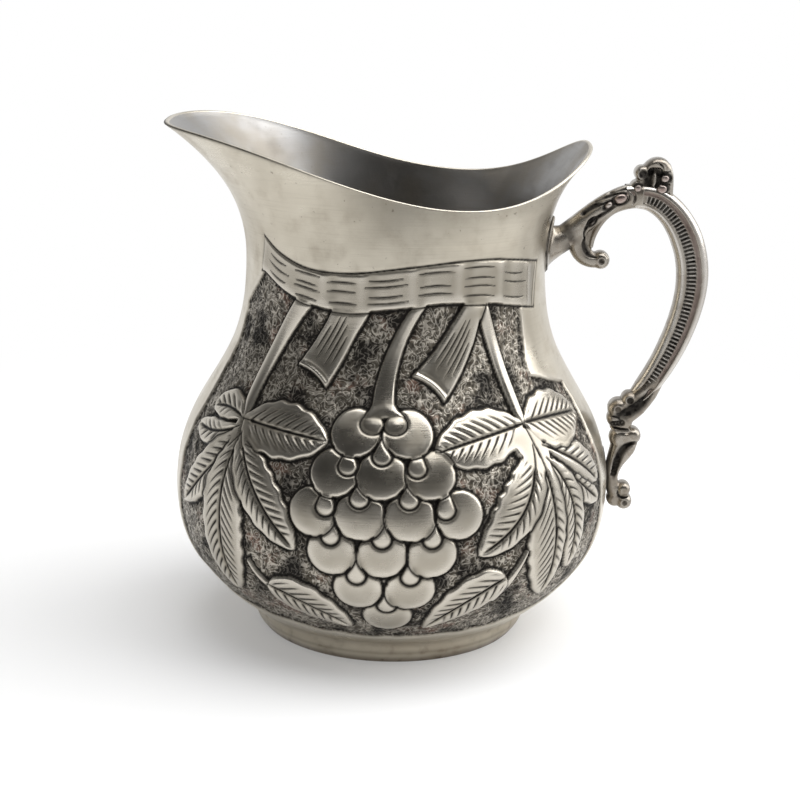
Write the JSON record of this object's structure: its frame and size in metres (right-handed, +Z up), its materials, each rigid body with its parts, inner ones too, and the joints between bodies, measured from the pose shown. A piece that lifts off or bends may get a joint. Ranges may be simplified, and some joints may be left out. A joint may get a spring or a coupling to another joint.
{
  "type": "pouring jug",
  "caption": "Round-bellied chased silver-plate jug with a broad spout, a banded foot and a cast scroll handle, for serving water or wine.",
  "frame": {"origin": "centre of the foot's underside", "axes": "+Z up, +X towards the handle, the spout towards -X, +Y towards the far side of the picture"},
  "size_m": [0.1589, 0.1298, 0.15],
  "materials": {
    "chased_plate": "silver plate, chased, darkened ground",
    "plain_plate": "silver plate, satin",
    "cast_plate": "silver-plated casting, darkened recesses",
    "solder": "silver solder, dull"
  },
  "bodies": {
    "root": {"body_shell": "chased_plate", "base_disc": "plain_plate", "foot_ring": "plain_plate", "foot_solder": "solder", "handle_collar": "cast_plate", "collar_solder": "solder", "handle_arm": "cast_plate", "thumb_crest": "cast_plate", "handle_grip": "cast_plate", "lower_bracket": "cast_plate", "bracket_solder": "solder"}
  },
  "joints": []
}
